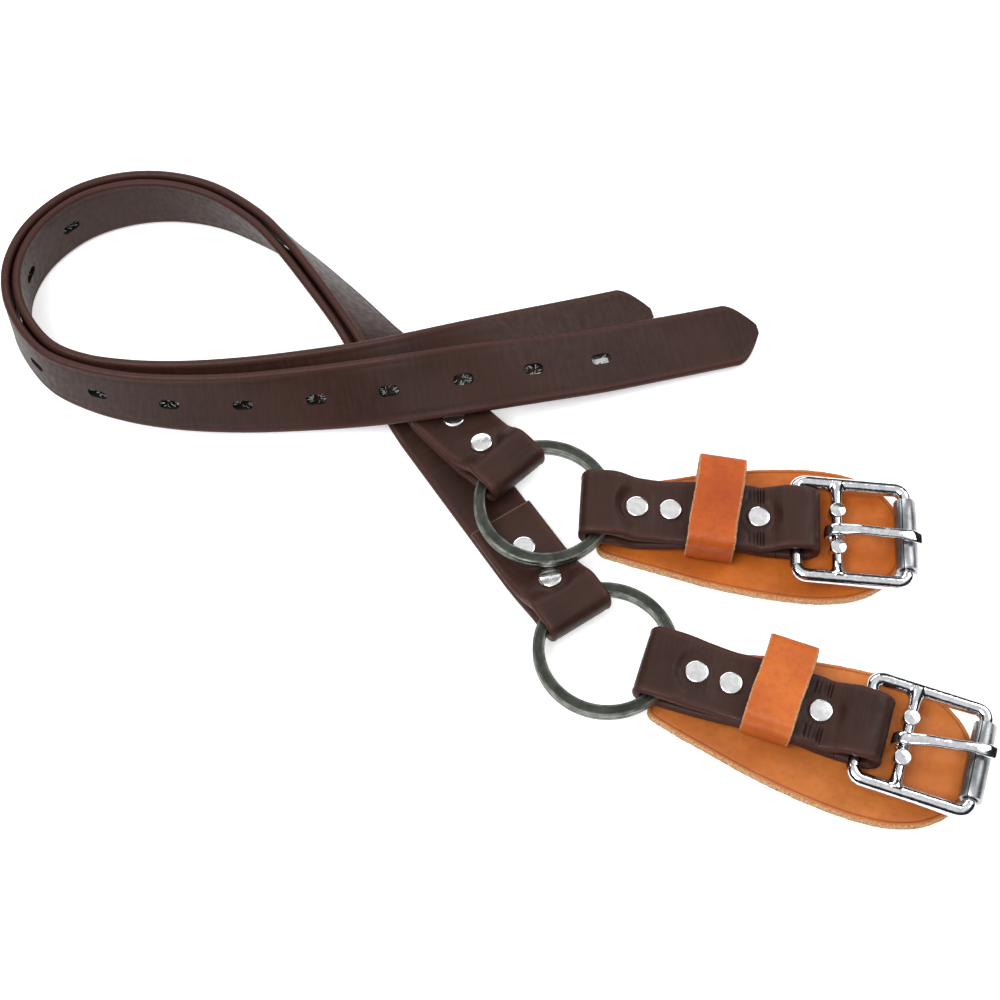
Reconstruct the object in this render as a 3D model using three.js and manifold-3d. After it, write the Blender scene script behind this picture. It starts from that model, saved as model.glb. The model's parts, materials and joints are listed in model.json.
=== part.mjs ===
// A pair of lower foot straps for tree climbing spurs, laid out flat as they are stored.
// Each one is a long coated strap with a row of slots, riveted round a split ring, and a short
// doubled strap that joins the ring to a heel-bar roller buckle over a leather pad.
// Millimetres, +Z up. The two straps lie nested in one loop; the lower one passes under the upper one.

import * as THREE from 'three';
import { mergeVertices } from 'three/addons/utils/BufferGeometryUtils.js';
import Module from 'manifold-3d';

const wasm = await Module();
wasm.setup();

// ---- driving dimensions ----
const GAP = 0.3; // running gap between pieces that touch
const STRAP_WIDTH = 25.4;
const STRAP_THICK = 3.2;
const RING_OUTER = 50; // outside diameter of the split ring
const RING_BAR = 4.1; // radial width of the ring's flat wire
const RING_THICK = 4; // two coils
const PAD_THICK = 3.6;
const SLOT_LENGTH = 7.5;
const SLOT_WIDTH = 4;
const SLOT_PITCH = 27;
const SLOT_COUNT = 10;
const FIRST_SLOT = 64; // from the strap's pointed tip
const TIP_TAPER = 10.7;
const FOLD_REACH = 12.6; // outer face of a fold, from the ring's centre
const RIVET = { post: 2, cap: 4.1, capHeight: 1.1, flange: 3.4, flangeHeight: 0.8 };
const HEEL_U = 89.6; // heel bar, from the ring's centre
const FOLD_U = 92.6; // middle of the buckle strap's turn round the heel bar
const HEEL_Z = 9.7;
const WIRE = 4.6; // buckle wire diameter
const FRAME_WIDTH = 37.4; // between the side rods' centres
const CENTRE_BAR_U = 14.7; // from the heel bar
const FRONT_BAR_U = 39.2; // from the heel bar
const FRONT_BAR_DIAMETER = 3.8;
const FRAME_DROOP = 2.8; // degrees, down towards the roller
const ROLLER = { outer: 7.8, bore: 4.6, length: 27.6 };
const BOSS = { offset: 7.4, radius: 2.8, height: 5 };
const KEEPER = { width: 17, thick: 2, outer: 37.6, foot: PAD_THICK + GAP, clear: 4.2 };
const TONGUE = { thick: 2.2, width: 4.4, tip: 29.3, offset: -1.2 };

// The two assemblies: centre of the ring, headings in degrees of the long strap and of the buckle
// strap, rivets along each strap from the ring's centre, places of the keeper, pad and buckle frame
// against the buckle strap's middle line, and small angles of loose pieces.
const UPPER = {
  name: 'upper', ring: [15.6, -7.8, 12], long: 132.5, longOffset: -0.6, longRivets: [33, 49],
  buckle: -4.1, buckleRivets: [33, 45, 76.3], keeper: [60, 2.6], pad: [2, -1.2], frameOffset: -1.3,
  askew: -7, tongueLean: -1.4,
};
const LOWER = {
  name: 'lower', ring: [36.1, -63.8, 9.4], long: 123.5, longOffset: 0.5, longRivets: [31.4, 49.3],
  buckle: -18.2, buckleRivets: [31.8, 43.8, 74.8], keeper: [58.6, 3.5], pad: [1.5, -3.2], frameOffset: 0.9,
  askew: -2, tongueLean: 4.5,
};

// Route of the outer strap's lower edge, from the rings round the loop to the tip:
// x, y, z at mid-thickness, lean of its width from upright towards the loop's inside, and how far
// the inner strap, which lies against its inner face, stands above it along the width.
const LOOP_ROUTE = [
  [-22, 53.5, 5.0, 76, 0],
  [-31.5, 63.5, 4.7, 61, 0.6],
  [-40.7, 72.9, 4.3, 49, 1],
  [-59.1, 92.6, 3.0, 35, 1],
  [-78.9, 111.1, 2.0, 22, 1],
  [-91.2, 119.1, 1.5, 15, 0.8],
  [-109.5, 127.8, 1.0, 8, 0.5],
  [-129, 131.2, 0.6, 2.5, 0.2],
  [-148.2, 128.9, 0.5, -1, 0],
  [-165.7, 120.8, 0.5, -2, 0],
  [-179.8, 105.4, 0.5, -1, 0],
  [-186, 88, 0.5, 2, 0],
  [-184.3, 72, 0.5, 3, 0],
  [-177, 58, 0.6, 2.5, 0],
  [-167, 46.5, 0.7, 3.5, 0.2],
  [-153.5, 38.6, 0.9, 7.5, 0.6],
  [-137.3, 33, 1.2, 12, 2],
  [-118.4, 29.3, 1.5, 18.5, 3],
  [-95.9, 27.4, 2.4, 25, 4],
  [-73.5, 26.7, 4.6, 32, 4.7],
  [-51, 26, 8.4, 41, 5.6],
  [-28.9, 26.1, 12.6, 50, 7],
  [-7.6, 29, 13.7, 61, 9],
  [16.2, 35.1, 10.9, 70, 12],
  [39, 41.6, 7.4, 75, 14.5],
  [67.2, 49.9, 4.8, 80, 16.5],
  [90.5, 56, 4, 82, 17],
];
const NESTING = STRAP_THICK + 1.1; // between the two straps' middle surfaces
const OUTER_END = 10.7; // how far the outer strap runs past the last point of the route
const INNER_END = -26; // the inner strap stops short of it
const FRAME_STEP = 10; // between the sections of a long strap's solid

// Heights of a long strap's middle surface at its ring end, against the distance from the ring's centre.
const RAISED = [[15, 8.1], [25, 8.1], [34, 6], [42, 5.1], [62, 5.1]];
const LIFTED = [[15, 5.5], [24.5, 5.5], [31, 3.9], [36, 2.6], [42, 1.8], [50, 1.7], [130, 1.7]];
const FOLD_GAP = RING_THICK + 2 * GAP + STRAP_THICK; // between the middles of a fold's two layers
const TAIL_GAP = [[15, FOLD_GAP], [24.5, FOLD_GAP], [33, 4.8], [37, 3.9], [42, 3.6], [80, 3.6]];
// Heights of the buckle strap's two layers beyond the ring, against the distance from its centre.
const UNDER_LAYER = [[33, 5.8], [43, 6.7], [48.5, 7.8], [71.5, 7.8], [77, 6.1], [83, 5.5], [95, 5.5]];
const OVER_LAYER = [
  [33, 11.9], [43, 11.0], [48.5, 11.4], [71.5, 11.4], [77, 9.8], [81, 11.3], [86, 13.9], [95, 13.9],
];

const COLOURS = {
  strap: { color: 0x4b3730, roughness: 0.5, metalness: 0 },
  leather: { color: 0xc87332, roughness: 0.7, metalness: 0 },
  ring: { color: 0x464b41, roughness: 0.5, metalness: 0.8 },
  nickel: { color: 0xd9d9dc, roughness: 0.25, metalness: 1 },
  chrome: { color: 0xc9ccd2, roughness: 0.12, metalness: 1 },
  steel: { color: 0x9da0a3, roughness: 0.4, metalness: 1 },
};

const UP = new THREE.Vector3(0, 0, 1);
const HALF = STRAP_WIDTH / 2;
const radians = THREE.MathUtils.degToRad;
const vec = (x, y, z) => new THREE.Vector3(x, y, z);
const group = new THREE.Group();

// ---- solids ----

function signedVolume(geometry) {
  const p = geometry.getAttribute('position');
  const index = geometry.getIndex();
  const corner = (i) => new THREE.Vector3().fromBufferAttribute(p, index.getX(i));
  let volume = 0;
  for (let i = 0; i < index.count; i += 3) {
    volume += corner(i).dot(corner(i + 1).cross(corner(i + 2))) / 6;
  }
  return volume;
}

function outward(geometry) {
  if (signedVolume(geometry) > 0) return geometry;
  const index = geometry.getIndex();
  for (let i = 0; i < index.count; i += 3) {
    const first = index.getX(i);
    index.setX(i, index.getX(i + 1));
    index.setX(i + 1, first);
  }
  return geometry;
}

function merged(geometry) {
  const bare = geometry.clone();
  bare.deleteAttribute('normal');
  bare.deleteAttribute('uv');
  return outward(mergeVertices(bare, 1e-4));
}

function toManifold(geometry) {
  const bare = merged(geometry);
  return new wasm.Manifold(new wasm.Mesh({
    numProp: 3,
    vertProperties: new Float32Array(bare.getAttribute('position').array),
    triVerts: new Uint32Array(bare.getIndex().array),
  }));
}

function toGeometry(solid) {
  const mesh = solid.getMesh();
  const geometry = new THREE.BufferGeometry();
  geometry.setAttribute('position', new THREE.BufferAttribute(mesh.vertProperties, 3));
  geometry.setIndex(new THREE.BufferAttribute(mesh.triVerts, 1));
  return geometry;
}

function cut(geometry, tools) {
  let solid = toManifold(geometry);
  for (const tool of tools) solid = solid.subtract(toManifold(tool));
  return toGeometry(solid);
}

function join(geometries) {
  let solid = toManifold(geometries[0]);
  for (const piece of geometries.slice(1)) solid = solid.add(toManifold(piece));
  return toGeometry(solid);
}

// A section outline carried along frames {p, a, b}: p is the centre, a and b the section's axes.
function sweep(frames, outline, closed = false) {
  const positions = [];
  const faces = [];
  const n = outline.length;
  for (const frame of frames) {
    for (const [x, y] of outline) {
      const scaled = frame.scale ?? 1;
      const q = frame.p.clone().addScaledVector(frame.a, x * scaled).addScaledVector(frame.b, y);
      positions.push(q.x, q.y, q.z);
    }
  }
  const spans = closed ? frames.length : frames.length - 1;
  for (let i = 0; i < spans; i++) {
    const here = i * n;
    const next = ((i + 1) % frames.length) * n;
    for (let j = 0; j < n; j++) {
      const k = (j + 1) % n;
      faces.push(here + j, here + k, next + k, here + j, next + k, next + j);
    }
  }
  if (!closed) {
    const last = (frames.length - 1) * n;
    for (let j = 1; j < n - 1; j++) {
      faces.push(0, j + 1, j, last, last + j, last + j + 1);
    }
  }
  const geometry = new THREE.BufferGeometry();
  geometry.setAttribute('position', new THREE.Float32BufferAttribute(positions, 3));
  geometry.setIndex(faces);
  return outward(geometry);
}

function chamferedBar(width, thick, chamfer) {
  const x = width / 2;
  const y = thick / 2;
  return [
    [x - chamfer, -y], [x, chamfer - y], [x, y - chamfer], [x - chamfer, y],
    [chamfer - x, y], [-x, y - chamfer], [-x, chamfer - y], [chamfer - x, -y],
  ];
}

function roundBar(diameter, sides) {
  return Array.from({ length: sides }, (_, i) => {
    const angle = (2 * Math.PI * (i + 0.5)) / sides;
    return [(diameter / 2) * Math.cos(angle), (diameter / 2) * Math.sin(angle)];
  });
}

function lathe(profile, sides) {
  // The profile is [radius, height] from axis to axis; the result's axis is Z.
  const points = profile.map(([r, h]) => new THREE.Vector2(r, h));
  return new THREE.LatheGeometry(points, sides).rotateX(Math.PI / 2);
}

function disc(radius, low, high, sides = 16) {
  return lathe([[0, low], [radius, low], [radius, high], [0, high]], sides);
}

function heightAt(table, at) {
  // Smooth through the table's points, level at both ends of each step.
  if (at <= table[0][0]) return table[0][1];
  for (let i = 1; i < table.length; i++) {
    const [from, low] = table[i - 1];
    const [to, high] = table[i];
    if (at <= to) return THREE.MathUtils.lerp(low, high, THREE.MathUtils.smoothstep(at, from, to) * 0.5
      + 0.5 * (at - from) / (to - from));
  }
  return table.at(-1)[1];
}

function addMesh(name, geometry, look, parent = group) {
  const mesh = new THREE.Mesh(geometry, new THREE.MeshStandardMaterial(COLOURS[look]));
  mesh.name = name;
  parent.add(mesh);
  return mesh;
}

// ---- rivets ----

// A post with a flange below and a domed cap above, and the tool that clears both out of the straps.
// The frame's Z axis is the rivet's; under and over are the flange's face and the strap's top face.
function rivetParts(matrix, under, over) {
  const post = lathe([
    [0, under], [RIVET.flange, under], [RIVET.flange, under + RIVET.flangeHeight],
    [RIVET.post, under + RIVET.flangeHeight], [RIVET.post, over], [0, over],
  ], 12);
  const low = over + GAP;
  const cap = lathe([
    [0, low], [RIVET.cap, low], [RIVET.cap, low + 0.5], [RIVET.cap - 1, low + RIVET.capHeight - 0.1],
    [0, low + RIVET.capHeight],
  ], 16);
  const tool = join([
    disc(RIVET.post + GAP, under - 1, over + 1, 10),
    disc(RIVET.flange + GAP, under - 4, under + RIVET.flangeHeight + GAP, 10),
    disc(RIVET.cap + GAP + 0.2, over, over + 5, 12),
  ]);
  return [post, cap, tool].map((piece) => piece.applyMatrix4(matrix));
}

function addRivet(name, matrix, under, over) {
  const [post, cap, tool] = rivetParts(matrix, under, over);
  addMesh(`${name}_post`, post, 'nickel');
  addMesh(`${name}_cap`, cap, 'nickel');
  return tool;
}

// ---- long straps ----

// Both layers of a long strap's ring end, as frames from the tail's cut edge to the end of its straight run.
function ringEndFrames(side, mainHeights, tailEnd, straightEnd) {
  const along = vec(Math.cos(radians(side.long)), Math.sin(radians(side.long)), 0);
  const across = vec(-along.y, along.x, 0);
  const at = (a, z) => vec(side.ring[0], side.ring[1], z).addScaledVector(along, a)
    .addScaledVector(across, side.longOffset);
  const main = (a) => heightAt(mainHeights, a);
  const tail = (a) => main(a) + heightAt(TAIL_GAP, a);
  const path = [];
  for (let a = tailEnd; a > 17; a -= 3) path.push([a, tail(a)]);
  path.push(...foldTurn(FOLD_REACH, main(15), tail(15)));
  for (let a = 18; a < straightEnd; a += 3) path.push([a, main(a)]);
  return { frames: path.map(([a, z]) => ({ p: at(a, z), a: across.clone() })), along, across, at, main, tail };
}

// The mid-surface of a squared fold, from the upper layer to the lower one.
function foldTurn(reach, low, high, direction = 1) {
  const corner = 2.9;
  const end = reach + (direction * STRAP_THICK) / 2;
  const turn = [];
  for (const degrees of [90, 60, 30, 0]) {
    turn.push([degrees, high - corner]);
  }
  for (const degrees of [0, -30, -60, -90]) {
    turn.push([degrees, low + corner]);
  }
  return turn.map(([degrees, z]) => [
    end + direction * corner * (1 - Math.cos(radians(degrees))),
    z + corner * Math.sin(radians(degrees)),
  ]);
}

function withNormals(frames) {
  frames.forEach((frame, i) => {
    const before = frames[Math.max(i - 1, 0)].p;
    const after = frames[Math.min(i + 1, frames.length - 1)].p;
    frame.t = after.clone().sub(before).normalize();
    frame.a.addScaledVector(frame.t, -frame.a.dot(frame.t)).normalize();
    frame.b = frame.t.clone().cross(frame.a);
  });
  return frames;
}

function leaning(tangent, lean) {
  const inside = UP.clone().cross(tangent).normalize();
  return UP.clone().multiplyScalar(Math.cos(radians(lean))).addScaledVector(inside, Math.sin(radians(lean)));
}

// Frames of the loop: stations of the lower edge turned into the strap's middle line.
function loopFrames(leadIn, inner, skipped, end) {
  const edge = new THREE.CatmullRomCurve3(LOOP_ROUTE.map(([x, y, z]) => vec(x, y, z)), false, 'centripetal');
  const stations = LOOP_ROUTE.map(([, , , lean, slip], i) => {
    const u = i / (LOOP_ROUTE.length - 1);
    const p = edge.getPoint(u);
    const t = edge.getTangent(u);
    const a = leaning(t, lean);
    const outwards = t.clone().cross(a).normalize();
    const middle = p.addScaledVector(a, HALF + (inner ? slip : 0));
    if (inner) middle.addScaledVector(outwards, -NESTING);
    return { p: middle, lean };
  });
  stations.splice(0, skipped);
  const last = stations.at(-1);
  const heading = last.p.clone().sub(stations.at(-2).p).normalize();
  if (end > 0) stations.push({ p: last.p.clone().addScaledVector(heading, end), lean: last.lean });
  const all = [...leadIn, ...stations];
  const line = new THREE.CatmullRomCurve3(all.map((s) => s.p), false, 'centripetal');
  const length = line.getLength() + Math.min(end, 0);
  const steps = Math.round(length / FRAME_STEP);
  const frames = [];
  for (let i = 0; i <= steps; i++) {
    const u = line.getUtoTmapping(0, (length * i) / steps);
    const place = u * (all.length - 1);
    const k = Math.min(Math.floor(place), all.length - 2);
    const lean = THREE.MathUtils.lerp(all[k].lean, all[k + 1].lean, place - k);
    frames.push({ p: line.getPoint(u), a: leaning(line.getTangent(u), lean) });
  }
  return frames;
}

// The last frames narrow to a blunt point.
function pointTip(frames) {
  const end = frames.at(-1);
  const before = frames.at(-2);
  const heading = end.p.clone().sub(before.p).normalize();
  const shoulder = end.p.clone().addScaledVector(heading, -TIP_TAPER);
  while (frames.at(-1).p.clone().sub(shoulder).dot(heading) > -1) frames.pop();
  for (const part of [0, 0.25, 0.5, 0.75, 0.92, 1]) {
    frames.push({
      p: shoulder.clone().addScaledVector(heading, TIP_TAPER * part),
      a: end.a.clone(),
      scale: Math.max(0.12, 1 - 0.82 * part ** 1.25),
    });
  }
  return frames;
}

function slotTools(frames) {
  // Slots are set out from the tip along the middle line.
  const tools = [];
  const shape = new THREE.Shape();
  const straight = (SLOT_LENGTH - SLOT_WIDTH) / 2;
  shape.absarc(straight, 0, SLOT_WIDTH / 2, -Math.PI / 2, Math.PI / 2);
  shape.absarc(-straight, 0, SLOT_WIDTH / 2, Math.PI / 2, (3 * Math.PI) / 2);
  const prism = new THREE.ExtrudeGeometry(shape, { depth: 10, bevelEnabled: false, curveSegments: 2 });
  prism.translate(0, 0, -5);
  let travelled = 0;
  let wanted = FIRST_SLOT;
  for (let i = frames.length - 1; i > 0 && tools.length < SLOT_COUNT; i--) {
    const step = frames[i].p.distanceTo(frames[i - 1].p);
    while (travelled + step >= wanted && tools.length < SLOT_COUNT) {
      const part = (wanted - travelled) / step;
      const p = frames[i].p.clone().lerp(frames[i - 1].p, part);
      const basis = new THREE.Matrix4().makeBasis(frames[i].t, frames[i].a, frames[i].b).setPosition(p);
      tools.push(prism.clone().applyMatrix4(basis));
      wanted += SLOT_PITCH;
    }
    travelled += step;
  }
  return tools;
}

// rising holds the stations between the straight run and the loop, as distance, rise and lean.
function addLongStrap(side, { mainHeights, tailEnd, straightEnd, rising, inner, skipped, end }) {
  const ringEnd = ringEndFrames(side, mainHeights, tailEnd, straightEnd);
  const stations = [[straightEnd - 3, 0, 90], [straightEnd, 0, 90], ...rising];
  const leadIn = stations.map(([a, rise, lean]) => ({ p: ringEnd.at(a, ringEnd.main(a) + rise), lean }));
  const loop = loopFrames(leadIn, inner, skipped, end);
  const frames = withNormals(pointTip([...ringEnd.frames, ...loop.slice(1)]));
  const strap = sweep(frames, chamferedBar(STRAP_WIDTH, STRAP_THICK, 0.8));
  const tools = slotTools(frames);
  side.longRivets.forEach((a, i) => {
    const slope = ringEnd.at(a + 2, ringEnd.main(a + 2)).sub(ringEnd.at(a - 2, ringEnd.main(a - 2))).normalize();
    const basis = new THREE.Matrix4().makeBasis(slope, ringEnd.across, slope.clone().cross(ringEnd.across))
      .setPosition(ringEnd.at(a, ringEnd.main(a)));
    const over = heightAt(TAIL_GAP, a) + STRAP_THICK / 2;
    tools.push(addRivet(`${side.name}_strap_rivet_${i + 1}`, basis, 0.1 - STRAP_THICK / 2, over));
  });
  addMesh(`${side.name}_long_strap`, cut(strap, tools), 'strap');
}

// ---- one ring and buckle assembly, in its own axes: u along the buckle strap from the ring's centre ----

function splitRing(height) {
  const frames = [];
  const segments = 36;
  const mean = (RING_OUTER - RING_BAR) / 2;
  for (let i = 0; i < segments; i++) {
    const angle = (2 * Math.PI * i) / segments;
    const radial = vec(Math.cos(angle), Math.sin(angle), 0);
    frames.push({ p: radial.clone().multiplyScalar(mean).setZ(height), a: radial, b: UP });
  }
  return sweep(frames, chamferedBar(RING_BAR, RING_THICK, 0.8), true);
}

function buckleStrap(ringZ) {
  const under = [[15, ringZ - FOLD_GAP / 2], [25, ringZ - FOLD_GAP / 2], ...UNDER_LAYER];
  const over = [[15, ringZ + FOLD_GAP / 2], [24.5, ringZ + FOLD_GAP / 2], ...OVER_LAYER];
  const path = [];
  const seam = 83; // the lower layer's two ends meet here, past the last rivet
  for (let u = seam; u < FOLD_U - 2; u += 3) path.push([u, heightAt(under, u)]);
  const radius = (WIRE + STRAP_THICK) / 2 + GAP;
  for (const degrees of [-90, -60, -30, 0, 30, 60, 90]) {
    path.push([FOLD_U + radius * Math.cos(radians(degrees)), HEEL_Z + radius * Math.sin(radians(degrees))]);
  }
  for (let u = 88; u > 17; u -= 3) path.push([u, heightAt(over, u)]);
  path.push(...foldTurn(FOLD_REACH, under[0][1], over[0][1]));
  for (let u = 19; u < seam - 0.8; u += 4) path.push([u, heightAt(under, u)]);
  const frames = withNormals(path.map(([u, z]) => ({ p: vec(u, 0, z), a: vec(0, 1, 0) })));
  return sweep(frames, chamferedBar(STRAP_WIDTH, STRAP_THICK, 0.8));
}

function padOutline() {
  // Half of the outline, from the ring end to the middle of the round end.
  const half = [[17.3, 9], [18.6, 12.4], [27, 15.4], [40, 18.6], [58, 22.8], [78, 25.8], [96, 26.6], [108, 24.8],
    [117, 20.6], [123.6, 13.8], [127, 6]];
  const edge = [...half.map(([u, v]) => new THREE.Vector2(u, -v)), new THREE.Vector2(127.6, 0),
    ...half.toReversed().map(([u, v]) => new THREE.Vector2(u, v))];
  const shape = new THREE.Shape();
  shape.moveTo(edge[0].x, edge[0].y);
  shape.splineThru(edge.slice(1));
  shape.closePath();
  return shape;
}

function pad([along, across]) {
  const body = new THREE.ExtrudeGeometry(padOutline(), { depth: PAD_THICK, bevelEnabled: false, curveSegments: 2 });
  return body.translate(along, across, 0);
}

function keeper([along, across], askew) {
  // A flat leather strip bent into a box-shaped loop round both layers.
  const high = heightAt(OVER_LAYER, along) + STRAP_THICK / 2 + KEEPER.clear + KEEPER.thick;
  const corners = (inset, radius) => {
    const shape = new THREE.Shape();
    const x = KEEPER.outer / 2 - inset;
    const low = KEEPER.foot + inset;
    const top = high - inset;
    shape.absarc(x - radius, low + radius, radius, -Math.PI / 2, 0);
    shape.absarc(x - radius, top - radius, radius, 0, Math.PI / 2);
    shape.absarc(radius - x, top - radius, radius, Math.PI / 2, Math.PI);
    shape.absarc(radius - x, low + radius, radius, Math.PI, 1.5 * Math.PI);
    return shape;
  };
  const shape = corners(0, 2.6);
  shape.holes.push(corners(KEEPER.thick, 0.6));
  const loop = new THREE.ExtrudeGeometry(shape, { depth: KEEPER.width, bevelEnabled: false, curveSegments: 4 });
  loop.translate(0, 0, -KEEPER.width / 2);
  // The section lies in X and Z with its length along Y here; turn it to stand across the strap.
  loop.rotateX(Math.PI / 2).rotateZ(Math.PI / 2);
  loop.rotateZ(radians(askew));
  return loop.translate(along, across, 0);
}

function wireFrames(corners, radius) {
  // Closed rounded rectangle in the X-Y plane through the given corners.
  const frames = [];
  corners.forEach((corner, i) => {
    const before = corners[(i + corners.length - 1) % corners.length];
    const after = corners[(i + 1) % corners.length];
    const back = before.clone().sub(corner).normalize();
    const ahead = after.clone().sub(corner).normalize();
    const centre = corner.clone().addScaledVector(back, radius).addScaledVector(ahead, radius);
    for (const turn of [0, 22.5, 45, 67.5, 90]) {
      const c = Math.cos(radians(turn));
      const s = Math.sin(radians(turn));
      const radial = ahead.clone().multiplyScalar(-c).addScaledVector(back, -s);
      frames.push({ p: centre.clone().addScaledVector(radial, radius), a: radial, b: UP });
    }
  });
  return frames;
}

function buckleFrame() {
  // In the frame's own axes: X from the heel bar to the roller, Y across, Z up.
  const y = FRAME_WIDTH / 2;
  const corners = [vec(0, -y, 0), vec(FRONT_BAR_U, -y, 0), vec(FRONT_BAR_U, y, 0), vec(0, y, 0)];
  const loop = sweep(wireFrames(corners, 3.6), roundBar(WIRE, 8), true);
  const thin = disc((FRONT_BAR_DIAMETER + 5) / 2, -ROLLER.length / 2 - GAP, ROLLER.length / 2 + GAP, 12);
  thin.rotateX(Math.PI / 2).translate(FRONT_BAR_U, 0, 0);
  const front = disc(FRONT_BAR_DIAMETER / 2, -y + 3, y - 3, 12).rotateX(Math.PI / 2).translate(FRONT_BAR_U, 0, 0);
  const centre = disc(WIRE / 2, -y, y, 12).rotateX(Math.PI / 2).translate(CENTRE_BAR_U, 0, 0);
  const bosses = [-1, 1].map((sign) => disc(BOSS.radius, -BOSS.height / 2, BOSS.height / 2, 12)
    .translate(CENTRE_BAR_U, sign * BOSS.offset, 0));
  return join([cut(loop, [thin]), front, centre, ...bosses]);
}

function tongue(lean) {
  // Curled round the centre bar, then out to the roller; origin on the bar.
  const curl = WIRE / 2 + GAP + TONGUE.thick / 2;
  const path = [];
  for (let degrees = -40; degrees > -270; degrees -= 23) {
    path.push([curl * Math.cos(radians(degrees)), curl * Math.sin(radians(degrees))]);
  }
  path.push([0, curl], [5, curl + 0.9], [11, 5.2], [18, 5.7], [24, 5.6], [27.5, 4.9], [TONGUE.tip, 3.9]);
  const frames = path.map(([x, z]) => ({
    p: vec(x, TONGUE.offset + lean * Math.max(x, 0) / TONGUE.tip, z), a: vec(0, 1, 0),
  }));
  frames.at(-1).scale = 0.7;
  return sweep(withNormals(frames), chamferedBar(TONGUE.width, TONGUE.thick, 0.6));
}

function roller() {
  const half = ROLLER.length / 2;
  const tube = lathe([
    [ROLLER.bore / 2, -half], [ROLLER.outer / 2, -half], [ROLLER.outer / 2, half], [ROLLER.bore / 2, half],
    [ROLLER.bore / 2, -half],
  ], 24);
  return tube.rotateX(Math.PI / 2);
}

function addAssembly(side) {
  const place = new THREE.Matrix4().makeRotationZ(radians(side.buckle)).setPosition(side.ring[0], side.ring[1], 0);
  const put = (name, geometry, look) => addMesh(`${side.name}_${name}`, geometry.applyMatrix4(place), look);
  put('split_ring', splitRing(side.ring[2]), 'ring');

  const tools = side.buckleRivets.map((u, i) => {
    const over = heightAt(OVER_LAYER, u) + STRAP_THICK / 2;
    const basis = new THREE.Matrix4().makeTranslation(u, 0, 0);
    const [post, cap, tool] = rivetParts(basis, 0.3, over);
    put(`buckle_rivet_${i + 1}_post`, post, 'nickel');
    put(`buckle_rivet_${i + 1}_cap`, cap, 'nickel');
    return tool;
  });
  put('buckle_strap', cut(buckleStrap(side.ring[2]), tools), 'strap');
  put('pad', cut(pad(side.pad), tools), 'leather');
  put('keeper', keeper(side.keeper, side.askew), 'leather');

  const droop = new THREE.Matrix4().makeRotationY(radians(FRAME_DROOP));
  droop.setPosition(HEEL_U, side.frameOffset, HEEL_Z);
  const ofFrame = (name, geometry, look) => put(name, geometry.applyMatrix4(droop), look);
  ofFrame('buckle_frame', buckleFrame(), 'chrome');
  ofFrame('buckle_tongue', tongue(side.tongueLean).translate(CENTRE_BAR_U, 0, 0), 'chrome');
  ofFrame('buckle_roller', roller().translate(FRONT_BAR_U, 0, 0), 'steel');
}

addLongStrap(UPPER, {
  mainHeights: RAISED, tailEnd: 58, straightEnd: 56, rising: [], inner: false, skipped: 0, end: OUTER_END,
});
addLongStrap(LOWER, {
  mainHeights: LIFTED, tailEnd: 64.3, straightEnd: 112, rising: [[126, 1.9, 84]], inner: true, skipped: 2,
  end: INNER_END,
});
addAssembly(UPPER);
addAssembly(LOWER);

// The origin is at the middle of the footprint.
const box = new THREE.Box3().setFromObject(group, true);
const middle = box.getCenter(new THREE.Vector3());
group.position.set(-middle.x, -middle.y, -box.min.z);
group.updateMatrixWorld(true);

export default group;
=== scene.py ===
import json
import math
import random

import bmesh
import bpy
import numpy as np
from mathutils import Matrix, Vector


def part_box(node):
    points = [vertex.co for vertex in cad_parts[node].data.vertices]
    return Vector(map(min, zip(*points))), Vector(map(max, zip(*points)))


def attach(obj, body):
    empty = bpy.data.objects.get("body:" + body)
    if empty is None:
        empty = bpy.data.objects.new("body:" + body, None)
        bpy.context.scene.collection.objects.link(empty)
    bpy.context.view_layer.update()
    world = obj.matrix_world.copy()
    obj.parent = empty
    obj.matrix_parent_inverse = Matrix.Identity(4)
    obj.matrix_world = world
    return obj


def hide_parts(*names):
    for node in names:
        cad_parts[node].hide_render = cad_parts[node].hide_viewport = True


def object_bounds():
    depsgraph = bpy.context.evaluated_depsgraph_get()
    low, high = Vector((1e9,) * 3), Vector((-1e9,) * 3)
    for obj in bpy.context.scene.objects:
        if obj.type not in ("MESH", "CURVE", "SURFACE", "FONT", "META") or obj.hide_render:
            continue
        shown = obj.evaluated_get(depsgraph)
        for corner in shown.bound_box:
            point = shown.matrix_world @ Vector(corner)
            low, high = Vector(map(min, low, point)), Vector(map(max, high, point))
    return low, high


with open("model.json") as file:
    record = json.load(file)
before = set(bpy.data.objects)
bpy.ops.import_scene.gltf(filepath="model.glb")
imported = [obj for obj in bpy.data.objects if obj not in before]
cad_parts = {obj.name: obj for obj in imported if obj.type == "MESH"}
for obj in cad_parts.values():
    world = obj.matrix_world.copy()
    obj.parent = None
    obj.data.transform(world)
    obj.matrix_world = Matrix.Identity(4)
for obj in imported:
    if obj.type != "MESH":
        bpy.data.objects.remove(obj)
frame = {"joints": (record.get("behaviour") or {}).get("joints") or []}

cad_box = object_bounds()

MM = 0.001
UP = np.array([0.0, 0.0, 1.0])
JOINTS = {joint["name"]: joint for joint in frame["joints"]}

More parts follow.
